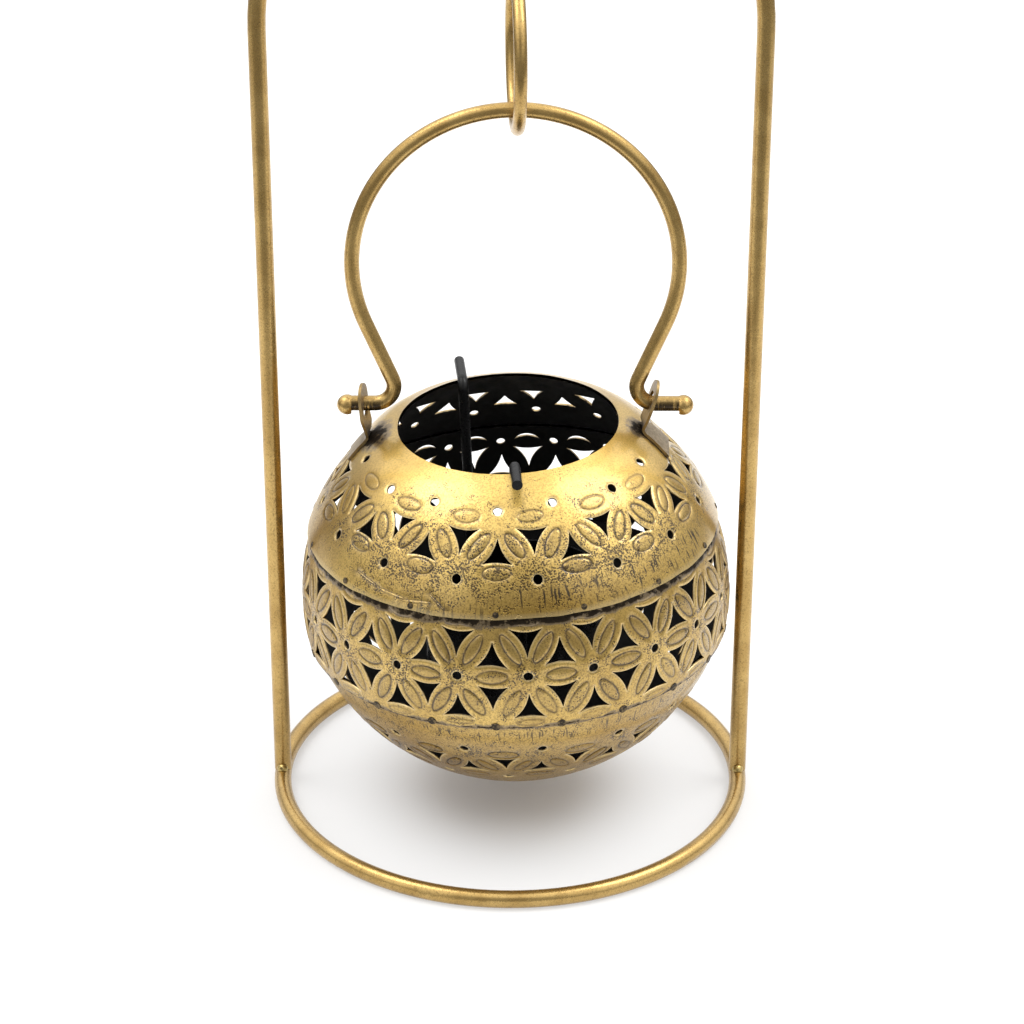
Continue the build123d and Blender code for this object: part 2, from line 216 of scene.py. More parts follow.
def rod_brass(name, pins_worn=False):
    """Satin brass-finished rod with fine speckle."""
    dim, bright = (0.43, 0.272, 0.082), (0.54, 0.358, 0.120)
    dark, black = (0.13, 0.085, 0.025), (0.035, 0.022, 0.009)
    t = Tree(bpy.data.materials.new(name))
    here = t.place()
    speck = t.noise(here, 1700, detail=3, rough=0.65)
    cloud = t.ramp(t.noise(here, 90, detail=3, rough=0.6), 0.35, 0.65)
    tone = t.mix(t.ramp(speck, 0.50, 0.70, 0.0, 0.5), t.mix(cloud, dim, bright), dark)
    if pins_worn:
        tone = t.mix(worn_pins(t, here), tone, black)
    return t.set(
        Base_Color=tone,
        Metallic=0.9,
        Roughness=t.ramp(speck, 0.3, 0.7, 0.25, 0.36),
        Normal=t.bump(speck, 0.000012),
        Coat_Weight=0.35,
        Coat_Roughness=0.25,
    )


def lug_brass():
    """Dull grey-brass strip, scorched towards the braze, with painted shade on its inner face."""
    dim, bright = (0.27, 0.205, 0.125), (0.46, 0.37, 0.25)
    cut, burnt = (0.30, 0.20, 0.07), (0.03, 0.024, 0.020)
    t = Tree(bpy.data.materials.new("lug_brass"))
    speck = t.noise(t.place(), 1100, detail=3, rough=0.65)
    tone = t.mix(t.ramp(speck, 0.35, 0.65), dim, bright)
    tone = t.mix(t.math("MULTIPLY", t.attribute("edge"), 0.8), tone, cut)
    return t.set(
        Base_Color=t.mix(t.attribute("stain"), tone, burnt),
        Metallic=0.85,
        Roughness=t.ramp(speck, 0.3, 0.7, 0.36, 0.5),
        Normal=t.bump(speck, 0.00005),
    )


def tack_metal():
    """Dull burnt metal in the tacks."""
    burnt, dull = (0.030, 0.024, 0.017), (0.17, 0.125, 0.065)
    t = Tree(bpy.data.materials.new("tack_metal"))
    speck = t.noise(t.place(), 900, detail=3, rough=0.6)
    return t.set(
        Base_Color=t.mix(t.ramp(speck, 0.4, 0.65), burnt, dull),
        Metallic=0.75,
        Roughness=0.5,
        Normal=t.bump(speck, 0.0001),
    )


def weld_metal():
    """Bright bead of braze with burnt spots."""
    bright, burnt = (0.52, 0.39, 0.15), (0.12, 0.08, 0.03)
    t = Tree(bpy.data.materials.new("weld_metal"))
    speck = t.noise(t.place(), 800, detail=3, rough=0.6)
    return t.set(
        Base_Color=t.mix(t.ramp(speck, 0.5, 0.7), bright, burnt),
        Metallic=0.9,
        Roughness=0.32,
        Normal=t.bump(speck, 0.0001),
    )


def black_iron():
    """Satin black paint on the cradle's wires and cup."""
    deep, pale = (0.002, 0.002, 0.002), (0.006, 0.006, 0.0065)
    t = Tree(bpy.data.materials.new("black_iron"))
    speck = t.noise(t.place(), 1200, detail=3, rough=0.6)
    return t.set(
        Base_Color=t.mix(speck, deep, pale),
        Roughness=t.ramp(speck, 0.3, 0.7, 0.24, 0.4),
        Specular_IOR_Level=0.25,
        Normal=t.bump(speck, 0.00004),
    )


def fade(x, low, high):
    """Nought up to low, one from high, and smooth between them."""
    share = np.clip((x - low) / (high - low), 0, 1)
    return share * share * (3 - 2 * share)


def bell(x, width):
    """One at nought, fading out on both sides."""
    return np.exp(-((x / width) ** 2))


def unit(rows):
    return rows / np.linalg.norm(rows, axis=1)[:, None]


def wrap(az):
    return (az + 180) % 360 - 180


def between(row):
    """Azimuths halfway between neighbours of a row that runs all round."""
    return [(a + b) / 2 for a, b in zip(row, row[1:] + [row[0] + 360])]


def level(alt):
    """Rim of a sheet at one altitude all round."""
    return lambda az: np.full(np.shape(az), alt)


def toward(turn):
    return np.array((math.cos(turn), math.sin(turn)))


def loop_lines(points):
    """Lines along a loop of numbered points."""
    return list(zip(points, points[1:] + points[:1]))


class Leaf:
    """Engraved leaf, a groove along an oval. Long and wide are half sizes, a lower power points its ends."""

    corners = 26

    def __init__(self, az, alt, turn, long, wide, depth, dark, power):
        self.az, self.alt, self.depth, self.dark = az, alt, depth, dark
        self.cos, self.sin = toward(math.radians(turn))
        self.long, self.wide, self.power = long, wide, power

    def distance(self, x, y):
        """Distance to the groove's middle, less than nought inside it."""
        p = np.abs(x * self.cos + y * self.sin) / self.long
        q = np.abs(y * self.cos - x * self.sin) / self.wide
        rise = np.maximum(p**self.power + q**self.power, 1e-4) ** (1 / self.power)
        slope = np.hypot(p ** (self.power - 1) / self.long, q ** (self.power - 1) / self.wide)
        return (rise - 1) / np.maximum(slope * rise ** (1 - self.power), 0.05)

    def loop(self, grow):
        turn = np.linspace(0, 2 * math.pi, self.corners, endpoint=False)
        cos, sin = np.cos(turn), np.sin(turn)
        p = (self.long + grow) * np.sign(cos) * np.abs(cos) ** (2 / self.power)
        q = (self.wide + grow) * np.sign(sin) * np.abs(sin) ** (2 / self.power)
        return p * self.cos - q * self.sin, p * self.sin + q * self.cos


class Cut:
    """Opening in a sheet, with its outline about its middle."""

    def __init__(self, az, alt, x, y):
        self.az, self.alt, self.x, self.y = az, alt, x, y
        ahead_x, ahead_y = np.roll(x, -1) - x, np.roll(y, -1) - y
        size = np.hypot(ahead_x, ahead_y)
        out_x, out_y = ahead_y / size, -ahead_x / size
        out_x, out_y = out_x + np.roll(out_x, 1), out_y + np.roll(out_y, 1)
        size = np.hypot(out_x, out_y)
        self.out = out_x / size, out_y / size

    def loop(self, grow):
        return self.x + grow * self.out[0], self.y + grow * self.out[1]

    def distance(self, x, y):
        """Distance to the outline, less than nought inside it."""
        best = np.full(len(x), 1e9)
        inside = np.zeros(len(x), bool)
        for i in range(len(self.x)):
            ax, ay, bx, by = self.x[i - 1], self.y[i - 1], self.x[i], self.y[i]
            dx, dy = bx - ax, by - ay
            share = np.clip(((x - ax) * dx + (y - ay) * dy) / (dx * dx + dy * dy), 0, 1)
            best = np.minimum(best, np.hypot(x - ax - share * dx, y - ay - share * dy))
            if dy:
                inside ^= ((ay > y) != (by > y)) & (x < dx * (y - ay) / dy + ax)
        return np.where(inside, -best, best)


def triangle(az, alt, points_up, tip, waists, rng):
    """Gap between three petals: a triangle with hollow sides and slightly blunt tips."""
    turn = math.radians((90 if points_up else -90) + rng.uniform(-2.5, 2.5))
    tips = [tip + rng.uniform(-0.3, 0.25) for _ in range(3)]
    third = 2 * math.pi / 3
    corners = [tips[i] * toward(turn + i * third) for i in range(3)]
    share = np.linspace(0.035, 0.965, 13)[:, None]
    sides = []
    for i in range(3):
        a, b = corners[i], corners[(i + 1) % 3]
        middle = (waists[i] + rng.uniform(-0.12, 0.12)) * toward(turn + (i + 0.5) * third)
        pull = 2 * middle - (a + b) / 2
        sides.append((1 - share) ** 2 * a + 2 * share * (1 - share) * pull + share**2 * b)
    line = np.concatenate(sides)
    return Cut(az, alt, line[:, 0], line[:, 1])


def round_hole(az, alt, diameter, rng):
    """Punched hole, a little out of round."""
    turn = np.linspace(0, 2 * math.pi, 18, endpoint=False)
    reach = diameter / 2 * (1 + 0.04 * np.sin(2 * turn + rng.uniform(0, 6)))
    return Cut(az, alt, reach * np.cos(turn), reach * np.sin(turn))


def crescent(az, alt, rng):
    """Arched slit over a petal of the topmost row."""
    half = 4.3
    x = np.linspace(-half, half, 13)
    low = 0.35 + 1.75 * (1 - (x / (half + 0.4)) ** 2) ** 0.8
    thick = (1.45 + rng.uniform(-0.2, 0.2)) * (1 - (x / (half + 0.1)) ** 2) ** 0.7
    return Cut(az, alt, np.concatenate([x, x[::-1]]), np.concatenate([low, (low + thick)[::-1]]))


class Shell:
    """One of the globe's spun sheets: an arc turned about the upright axis, with its relief and openings.

    Rubbed says how bare its rims are, and closed whether a plain bottom closes it.
    """

    rubbed = 0.0
    closed = False
    wave_height = 0.018
    groove_width, soot_width = 0.34, 0.38
    leaf_power, leaf_bulge, leaf_tint, leaf_reach = 2.0, 0.65, 0.28, 7.5
    roll_depth, roll_width, bare_width, cut_reach = 0.20, 0.42, 0.34, 8.0

    def __init__(self, hub_r, hub_h, radius, low, high, seed):
        self.hub_r, self.hub_h, self.radius = hub_r, hub_h, radius
        self.low, self.high = low, high
        self.leaves, self.cuts, self.hearts = [], [], []
        self.rng = random.Random(seed)
        self.waves = [self.wave() for _ in range(9)]

    def wave(self):
        """Wave of the hand-beaten sheet: turns all round, slant and start."""
        turns = self.rng.choice((3, 5, 7, 9, 11, 14, 17))
        return turns, self.rng.uniform(2, 14), self.rng.uniform(0, 6.28)

    def add_leaf(self, az, alt, turn, long, wide, strength=1.0):
        """Engraves a leaf with the small slips of handwork."""
        rng = self.rng
        force = strength * rng.uniform(0.6, 1.1)
        leaf = Leaf(
            az=wrap(az + math.degrees(rng.uniform(-0.25, 0.25) / self.radius)),
            alt=alt + math.degrees(rng.uniform(-0.2, 0.2) / self.radius),
            turn=turn + rng.uniform(-4, 4),
            long=long + rng.uniform(-0.3, 0.3),
            wide=wide + rng.uniform(-0.2, 0.15),
            depth=0.24 * force,
            dark=min(1.0, 1.15 * force),
            power=self.leaf_power,
        )
        self.leaves.append(leaf)

    def ring(self, alt):
        return self.hub_r + self.radius * np.cos(np.radians(alt))

    def spot(self, az, alt, x, y):
        """Azimuth and altitude of a point x to the right of and y above a place on the sheet."""
        up = alt + np.degrees(y / self.radius)
        return az + np.degrees(x / self.ring(up)), up

    def near(self, az, alt, to_az, to_alt):
        """How far points lie to the right of and above a place on the sheet."""
        turn = np.radians(wrap(to_az - az))
        return turn * self.ring(to_alt), np.radians(to_alt - alt) * self.radius

    def close_to(self, mark, az, alt, reach):
        """Numbers of the points close to a leaf or an opening, and their distances from it."""
        x, y = self.near(mark.az, mark.alt, az, alt)
        at = np.flatnonzero((np.abs(x) < reach) & (np.abs(y) < reach))
        return at, mark.distance(x[at], y[at]) if len(at) else at

    def outward(self, az, alt):
        az, alt = np.radians(az), np.radians(alt)
        return np.stack([np.cos(alt) * np.sin(az), -np.cos(alt) * np.cos(az), np.sin(alt)], -1)

    def swell(self, az, alt):
        """How far the hand-beaten sheet stands off its true arc."""
        return np.zeros(len(az))

    def point(self, az, alt, lift):
        reach = self.radius + lift + self.swell(az, alt)
        az, turn = np.radians(az), np.radians(alt)
        r = self.hub_r + reach * np.cos(turn)
        return np.stack([r * np.sin(az), -r * np.cos(az), self.hub_h + reach * np.sin(turn)], -1)

    def inside(self, az, alt):
        return self.point(az, alt, -SHEET)

    def relief(self, az, alt):
        """Height over the plain sheet, and the marks of groove and edge."""
        height, groove, edge = np.zeros((3, len(az)))
        for turns, slant, start in self.waves:
            height += self.wave_height * np.sin(turns * np.radians(az) + slant * np.radians(alt) + start)
        for leaf in self.leaves:
            at, d = self.close_to(leaf, az, alt, self.leaf_reach)
            height[at] -= leaf.depth * bell(d, self.groove_width)
            height[at] += self.leaf_bulge * leaf.depth * np.clip(-d / leaf.wide, 0, 1) ** 0.7
            groove[at] = np.maximum(groove[at], leaf.dark * bell(d, self.soot_width))
            groove[at] = np.maximum(groove[at], self.leaf_tint * leaf.dark * np.clip(-2 * d, 0, 1))
        for cut in self.cuts:
            at, d = self.close_to(cut, az, alt, self.cut_reach)
            height[at] -= self.roll_depth * bell(np.maximum(d, 0), self.roll_width)
            edge[at] = np.maximum(edge[at], bell(np.maximum(d, 0), self.bare_width))
        return height, groove, edge

    def about_hearts(self, az, alt):
        """One at the hearts of the flowers, fading out over the petals."""
        near = np.full(len(az), 1e9)
        for heart in self.hearts:
            x, y = self.near(*heart, az, alt)
            near = np.minimum(near, x * x + y * y)
        return np.exp(-near / 4.2**2)

    def normals(self, az, alt):
        """Outward directions of the surface with its relief."""
        step = 0.06
        lift = []
        for x, y in ((step, 0.0), (-step, 0.0), (0.0, step), (0.0, -step)):
            beside = self.spot(az, alt, x, y)
            lift.append(self.relief(*beside)[0] + self.swell(*beside))
        east = self.outward(az + 90, np.zeros(len(az)))
        up = self.outward(az, alt + 90)
        tilt = self.outward(az, alt) - east * ((lift[0] - lift[1]) / (2 * step))[:, None]
        tilt -= up * ((lift[2] - lift[3]) / (2 * step))[:, None]
        return unit(tilt)


class Net:
    """Points and lines of a sheet, unrolled for its triangles. It overlaps itself at the back."""

    overlap = 14
    turns = (-360, 0, 360)
    leaf_rings = (-1.1, -0.55, -0.26, 0, 0.26, 0.55)
    grid_reach = 9.0

    def __init__(self, shell, step, cut_rings, clear_of_cuts, leaves):
        self.shell = shell
        self.az, self.alt, self.lines, self.holes = [], [], [], []
        self.count = 0
        self.add_rims()
        for turn in self.turns:
            self.add_cuts(turn, cut_rings)
            if leaves:
                self.add_leaves(turn)
        self.add_grid(step, clear_of_cuts, leaves)

    def add(self, az, alt):
        numbers = list(range(self.count, self.count + len(az)))
        self.az.append(az)
        self.alt.append(alt)
        self.count += len(az)
        return numbers

    def holds(self, az):
        return np.abs(az) < 180 + self.overlap

    def add_rims(self):
        whole = np.arange(-180 - self.overlap, 180 + self.overlap + 1, 1.0)
        for rim in (self.shell.low, self.shell.high):
            line = self.add(whole, rim(whole))
            self.lines += zip(line, line[1:])
        self.low, self.high = np.max(self.shell.low(whole)), np.min(self.shell.high(whole))

    def add_cuts(self, turn, rings):
        """Outlines of the openings, with rings of points about them."""
        for cut in self.shell.cuts:
            for grow in rings if self.holds(cut.az + turn) else ():
                loop = self.add(*self.shell.spot(cut.az + turn, cut.alt, *cut.loop(grow)))
                if grow == 0:
                    self.lines += loop_lines(loop)
                    self.holes.append(loop)

    def add_leaves(self, turn):
        """Lines along the grooves of the leaves, with points inside and outside them."""
        for leaf in self.shell.leaves:
            for grow in self.leaf_rings if self.holds(leaf.az + turn) else ():
                loop = self.add(*self.shell.spot(leaf.az + turn, leaf.alt, *leaf.loop(grow)))
                if abs(grow) < 0.3:
                    self.lines += loop_lines(loop)

    def grid(self, step):
        """Rows of points over the sheet, each moved a little along its row."""
        shell, room = self.shell, self.high - self.low
        rows = max(2, round(math.radians(room) * shell.radius / step))
        all_az, all_alt = [], []
        for i in range(1, rows):
            alt = self.low + room * i / rows
            count = round(2 * math.pi * shell.ring(alt) / step)
            az = -180 + 360 / count * (np.arange(count) + 0.5 * (i % 2))
            all_az.append(az + np.array([shell.rng.uniform(-0.1, 0.1) for _ in az]) * 360 / count)
            all_alt.append(np.full(count, alt))
        return np.concatenate(all_az), np.concatenate(all_alt)

    def add_grid(self, step, clear_of_cuts, leaves):
        """The grid's points that lie clear of the openings and, if these are drawn, of the leaves."""
        az, alt = self.grid(step)
        free = np.ones(len(az), bool)
        for cut in self.shell.cuts:
            at, d = self.shell.close_to(cut, az, alt, self.grid_reach)
            free[at] &= d > clear_of_cuts
        for leaf in self.shell.leaves if leaves else ():
            at, d = self.shell.close_to(leaf, az, alt, self.grid_reach)
            free[at] &= (d > 1.1) | (d < -1.5)
        az, alt = az[free], alt[free]
        for turn in self.turns:
            at = self.holds(az + turn)
            self.add(az[at] + turn, alt[at])

    def triangles(self):
        """Azimuths and altitudes of the sheet's points, and its triangles once round."""
        shell = self.shell
        az, alt = np.concatenate(self.az), np.concatenate(self.alt)
        scale = shell.ring((self.low + self.high) / 2)
        flat = np.stack([np.radians(az) * scale, np.radians(alt) * shell.radius], -1)
        out = delaunay_2d_cdt([Vector(p) for p in flat], self.lines, self.holes, 0, 1e-5, True)
        found = np.array([tuple(p) for p in out[0]])
        az, alt = np.degrees(found[:, 0] / scale), np.degrees(found[:, 1] / shell.radius)
        faces = np.array([face for face, hole in zip(out[2], out[5]) if not hole])
        middle_az, middle_alt = az[faces].mean(1), alt[faces].mean(1)
        keep = (middle_az >= -180) & (middle_az < 180)
        keep &= (middle_alt > shell.low(middle_az) - 0.02) & (middle_alt < shell.high(middle_az) + 0.02)
        used, faces = np.unique(faces[keep], return_inverse=True)
        return az[used], alt[used], faces.reshape(-1, 3)


class Sheet:
    """Collects a mesh's points, faces, directions and marks."""

    marks = ("groove", "edge", "stain", "pits", "scratch", "patina")

    def __init__(self):
        self.points, self.normals, self.faces, self.slots, self.uv = [], [], [], [], []
        self.values = {name: [] for name in self.marks}
        self.count = 0

    def add(self, points, normals, faces, slot=0, uv=None, **values):
        self.points.append(points)
        self.normals.append(normals)
        self.faces += [[int(i) + self.count for i in face] for face in faces]
        self.slots += [slot] * len(faces)
        self.uv.append(np.zeros((len(points), 2)) if uv is None else uv)
        for name in self.marks:
            self.values[name].append(np.broadcast_to(values.get(name, 0.0), len(points)))
        self.count += len(points)

    def finish(self, name, materials):
        """Hangs the mesh as the globe hangs and puts it into the scene."""
        points = np.concatenate(self.points) @ hang_turn.T + hang_shift
        normals = np.concatenate(self.normals) @ hang_turn.T
        mesh = bpy.data.meshes.new(name)
        mesh.from_pydata((points * MM).tolist(), [], self.faces, shade_flat=False)
        for material in materials:
            mesh.materials.append(material)
        mesh.polygons.foreach_set("material_index", self.slots)
        corner = np.empty(len(mesh.loops), int)
        mesh.loops.foreach_get("vertex_index", corner)
        layer = mesh.uv_layers.new(name="sheet")
        layer.data.foreach_set("uv", np.concatenate(self.uv)[corner].ravel())
        for mark in self.marks:
            values = mesh.attributes.new(mark, "FLOAT", "POINT")
            values.data.foreach_set("value", np.concatenate(self.values[mark]))
        mesh.normals_split_custom_set_from_vertices(normals.tolist())
        obj = bpy.data.objects.new(name, mesh)
        scene.collection.objects.link(obj)
        return obj


def band_faces(count):
    """Faces between two loops of points, one after the other."""
    return [(i, (i + 1) % count, count + (i + 1) % count, count + i) for i in range(count)]


def wall(sheet, shell, az, alt, inward, bright):
    """Cut edge of a sheet along a line, from its outer to its inner face."""
    outer, inner = shell.point(az, alt, shell.relief(az, alt)[0]), shell.inside(az, alt)
    count = len(az)
    out = shell.outward(az, alt)
    ahead = np.roll(outer, -1, 0) - np.roll(outer, 1, 0)
    side = unit(np.cross(ahead, out) * inward)
    sheet.add(
        np.concatenate([outer, inner]),
        np.concatenate([unit(side + 0.6 * out), side]),
        band_faces(count),
        edge=np.concatenate([np.full(count, bright), np.zeros(count)]),
        # The edge darkens towards the inner face. The unrubbed rims, under the dome's rim, behind the band
        # and at the lower seam, are dark all over: painted shade, and grime at the lower seam.
        stain=np.concatenate([np.full(count, 0.9 - bright), np.full(count, 0.8)]),
    )


def bottom(sheet, shell):
    """Plain closed bottom of the bowl, below its lattice."""
    turns = np.arange(-180, 180, 2.0)
    count = len(turns)
    levels = np.linspace(shell.low(turns)[0], -90, 14)
    az, alt = np.tile(turns, len(levels)), np.repeat(levels, count)
    quads = []
    for first in range(0, count * (len(levels) - 1), count):
        quads += [(first + a, first + d, first + c, first + b) for a, b, c, d in band_faces(count)]
    height = shell.relief(az, alt)[0] * np.clip((alt + 90) / 20, 0, 1)
    out = shell.outward(az, alt)
    sheet.add(shell.point(az, alt, height), out, quads, **shell.marks(az, alt))
    sheet.add(shell.inside(az, alt), -out, [quad[::-1] for quad in quads], slot=1)


def build_shell(shell):
    """Mesh of one sheet: relief outside, black inside, and the cut edges between them."""
    sheet = Sheet()
    fine = Net(shell, step=1.7, cut_rings=(0, 0.2, 0.5, 1.0), clear_of_cuts=1.5, leaves=True)
    az, alt, faces = fine.triangles()
    height, groove, edge = shell.relief(az, alt)
    edge = np.maximum(edge, 0.8 * shell.rubbed * bell(alt - shell.low(az), 0.3))
    uv = np.stack([np.radians(az) * shell.radius, np.radians(alt) * shell.radius], -1) / 100
    outside = shell.point(az, alt, height), shell.normals(az, alt)
    sheet.add(*outside, faces, uv=uv, groove=groove, edge=edge, **shell.marks(az, alt))
    coarse = Net(shell, step=3.4, cut_rings=(0,), clear_of_cuts=0.8, leaves=False)
    az, alt, faces = coarse.triangles()
    worn = shell.rubbed * bell(alt - shell.high(az), 10)
    sheet.add(shell.inside(az, alt), -shell.outward(az, alt), faces[:, ::-1], slot=1, edge=worn)
    for cut in shell.cuts:
        wall(sheet, shell, *shell.spot(cut.az, cut.alt, cut.x, cut.y), inward=-1, bright=0.9)
    turns = np.arange(-180, 180, 1.0)
    wall(sheet, shell, turns, shell.high(turns), inward=1, bright=0.9 * shell.rubbed)
    if shell.closed:
        bottom(sheet, shell)
    else:
        wall(sheet, shell, turns, shell.low(turns), inward=-1, bright=0.9 * shell.rubbed)
    return sheet


class MiddleBand(Shell):
    """The barrel-shaped sheet with a row of full flowers between two rows of half ones."""

    leaf_power = 1.8
    flowers = [-67.0, -49.9, -32.0, -15.0, 3.4, 20.5, 39.1, 55.8, 72.6, 90, 107.4, 124.9, 142.3]
    flowers += [159.8, 175.8, 191.7, 207.6, 224.9, 242, 259, 276]
    apart = 14.85
    # The gaps beside a flower: shift, drop, tip and waist. A few behind are cut wider and lean to one side.
    plain_gap = (0.0, 0.0, 5.9, 2.05)
    upper_gaps = {207.6: (0.9, 0.0, 6.6, 2.75)}
    lower_gaps = {159.8: (0.9, 0.0, 6.9, 2.8), 175.8: (1.7, 1.0, 7.3, 3.3), 191.7: (0.9, 0.0, 6.9, 2.8)}

    def __init__(self):
        super().__init__(hub_r=0, hub_h=-6.6, radius=68.4, low=level(-10.1), high=level(23.8), seed=3)
        for flower, gap in zip(self.flowers, between(self.flowers)):
            # The rows lie a little lower behind than in front.
            mid = 4.1 + 1.15 * math.cos(math.radians(flower))
            self.pierce(flower, wrap(gap), mid)
            self.engrave(wrap(flower), wrap(gap), mid)

    def pierce(self, flower, gap, mid):
        rng, az = self.rng, wrap(flower)
        low, high, third = mid - self.apart, mid + self.apart, self.apart / 3
        for gaps, up in ((self.upper_gaps, 1), (self.lower_gaps, -1)):
            aside, drop, tip, waist = gaps.get(flower, self.plain_gap)
            self.cuts.append(triangle(gap + aside, mid + up * third - drop, up > 0, tip, [waist] * 3, rng))
        self.cuts += [
            triangle(az, high - third + 0.3, False, 6.2, (2.05, 2.1, 2.05), rng),
            triangle(az, low + third, True, 6.1, (2.05, 2.2, 2.05), rng),
            round_hole(az, mid, 2.9, rng),
        ]
        if abs(az) > 95:
            self.cuts += [round_hole(gap, high, 2.8, rng), crescent(az, high, rng)]
        self.hearts.append((az, mid))

    def engrave(self, az, gap, mid):
        low, high = mid - self.apart, mid + self.apart
        quarter = 360 / len(self.flowers) / 4
        self.add_leaf(gap, mid, 0, long=4.9, wide=2.05)
        for up in (1, -1):
            for side in (1, -1):
                at = az + side * quarter, mid + up * self.apart / 2
                self.add_leaf(*at, up * side * 60, long=5.3, wide=1.85)
        self.add_leaf(az, low + 1.2, 0, long=4.2, wide=1.1, strength=0.5)
        self.add_leaf(az, high - 0.2, 0, long=4.4, wide=1.6, strength=0.6)

    def marks(self, az, alt):
        """A sooty strip under the dome's rim and a dark hem at the lower seam, each partly painted shadow,
        and patina towards the sides, partly painted shade.
        """
        turn = np.radians(az)
        wave = 0.8 * np.sin(turn * 21 + 1) + 0.5 * np.sin(turn * 13) + 0.5 * np.sin(turn * 47)
        # Painted shadow: the strip under the dome's rim, together with soot in the crevice.
        strip = 0.95 * fade(alt, 17.8 + 0.3 * wave, 19.9 + 0.25 * wave)
        # Painted shadow: the hem at the lower seam, together with grime.
        hem = 0.8 * fade(-alt, 9.75, 10.05)
        pits = 0.38 + 0.42 * self.about_hearts(az, alt)
        # Painted shade: the sine term darkens the left and right sides; the rest is patina.
        patina = 0.16 + 0.34 * np.sin(turn) ** 4 + 0.10 * fade(alt, 8, 16)
        return {"stain": np.maximum(strip, hem), "pits": pits, "patina": patina}


def torn_rim(az):
    """Lower rim of the dome, uneven from the shears."""
    turn = np.radians(az)
    return 20.96 + 0.10 * np.sin(9 * turn + 1) + 0.08 * np.sin(23 * turn) + 0.05 * np.sin(41 * turn + 2)


class Dome(Shell):
    """The upper sheet with the mouth, beaten a little fuller towards the back and the left of the mouth."""

    rubbed = 1.0
    flowers = [-87.4, -63.8, -40.4, -16.0, 7.7, 32.4, 55.1, 78.5]
    flowers += [102.8, 127, 151.3, 172, 192.1, 212.7, 232.7, 252.7]
    low_row, high_row = 33.7, 49.4
    # Azimuth and altitude of the holes over the first flowers.
    top_holes = [(-78.8, 52.9), (-52.3, 51.9), (-30.3, 53.0), (-4.4, 52.2)]
    top_holes += [(17.2, 53.6), (43.6, 52.3), (65.9, 53.7)]
    # Torn nicks along the rim, left of the front: azimuth, altitude, turn and half length.
    nicks = [(-44, 25.6, -12, 5), (-36, 24.3, -8, 6.5), (-27, 23.9, 4, 5), (-21, 24.6, -35, 3)]
    # Burnt spots about the lugs, and chains of spots that paint the shadow lines under the feet's front
    # edges: azimuth, altitude, half width, half height and darkness.
    burns_and_shadow_lines = [(-91, 57.4, 6.6, 4.2, 1.35), (-88, 54.8, 3.2, 2.4, 1.3), (89, 58.6, 4.6, 3.0, 1.25)]
    # Painted shadow: a line under the left foot's front edge.
    burns_and_shadow_lines += [(-89.6 - 0.1 * i, 53.5 - 1.2 * i, 1.2, 1.2, 0.9) for i in range(6)]
    # Painted shadow: a line under the right foot's front edge.
    burns_and_shadow_lines += [(85.2 - 0.35 * i, 56.4 - 1.15 * i, 1.1, 1.2, 1.0) for i in range(10)]

    def __init__(self):
        super().__init__(hub_r=7.959, hub_h=-3.894, radius=61.2, low=torn_rim, high=level(64.4), seed=5)
        for i, (flower, gap) in enumerate(zip(self.flowers, between(self.flowers))):
            self.pierce(i, wrap(flower), wrap(gap))
            self.engrave(wrap(flower), wrap(gap), (gap - flower) / 2)
        for az, alt, turn, long in self.nicks:
            self.add_leaf(az, alt, turn, long, wide=0.35, strength=0.7)

    def swell(self, az, alt):
        turn = np.radians(az)
        behind = (1 - np.cos(turn)) / 2 * (1 - 0.25 * np.sin(turn))
        return 2.3 * behind * fade(alt, 42, 56) * (1 - 0.35 * fade(alt, 58, 64.4))

    def pierce(self, i, az, gap):
        rng, third = self.rng, (self.high_row - self.low_row) / 3
        # The lattice is tighter and sits lower behind.
        tip, drop = (4.7, 1.4) if abs(az) > 110 else (5.7, 0.0)
        self.cuts += [
            triangle(gap, self.low_row + third - drop, True, tip, (1.9, 2.0, 1.9), rng),
            triangle(az, self.high_row - third - drop, False, tip, (1.9, 2.2, 1.9), rng),
            round_hole(az, 32.0 + rng.uniform(-0.3, 0.3), 3.0, rng),
        ]
        self.hearts.append((az, 33.5))
        if i < len(self.top_holes):
            self.cuts.append(round_hole(*self.top_holes[i], 3.0, rng))
        elif abs(gap) < 115:
            self.cuts.append(round_hole(gap, 52.8, 3.0, rng))

    def engrave(self, az, gap, side_step):
        self.add_leaf(gap, self.low_row + 0.2, 0, long=4.4, wide=2.2)
        # The sheet is plain where the lugs stand.
        strength = 0.0 if 75 < abs(az) < 95 else 0.7
        self.add_leaf(az, self.high_row + 0.9, 0, long=4.2, wide=2.1, strength=strength)
        for side in (1, -1):
            at = az + side * side_step, (self.low_row + self.high_row) / 2
            self.add_leaf(*at, side * 56.4, long=4.6, wide=1.95)

    # Darkness of the burns about the lugs and of the painted shadow lines under the feet.
    def burnt(self, az, alt):
        dark = np.zeros(len(az))
        for at_az, at_alt, wide, high, force in self.burns_and_shadow_lines:
            x, y = self.near(at_az, at_alt, az, alt)
            dark = np.maximum(dark, force * np.exp(-((x / wide) ** 2 + (y / high) ** 2)))
        return dark

    def scratched(self, az, alt):
        """Scratches over the rim: long ones right of the front, weaker ones left of it."""
        right = fade(az, -8, 5) * (1 - fade(az, 62, 78)) * fade(alt, 22.2, 23.5) * (1 - fade(alt, 28.5, 30.5))
        left = fade(az, -35, -25) * (1 - fade(az, -8, 0)) * (1 - fade(alt, 25, 27))
        return np.maximum(right, 0.6 * left)

    def marks(self, az, alt):
        """Burns at the lugs with painted shadow lines under their feet, scratches over the rim, a darker
        sheet low in front, and painted shade at the far left.
        """
        pits = 0.42 + 0.3 * bell(alt - 33, 9) - 0.2 * fade(alt, 52, 60)
        pits += 0.35 * self.about_hearts(az, alt) - 0.28 * fade(np.abs(az), 38, 65)
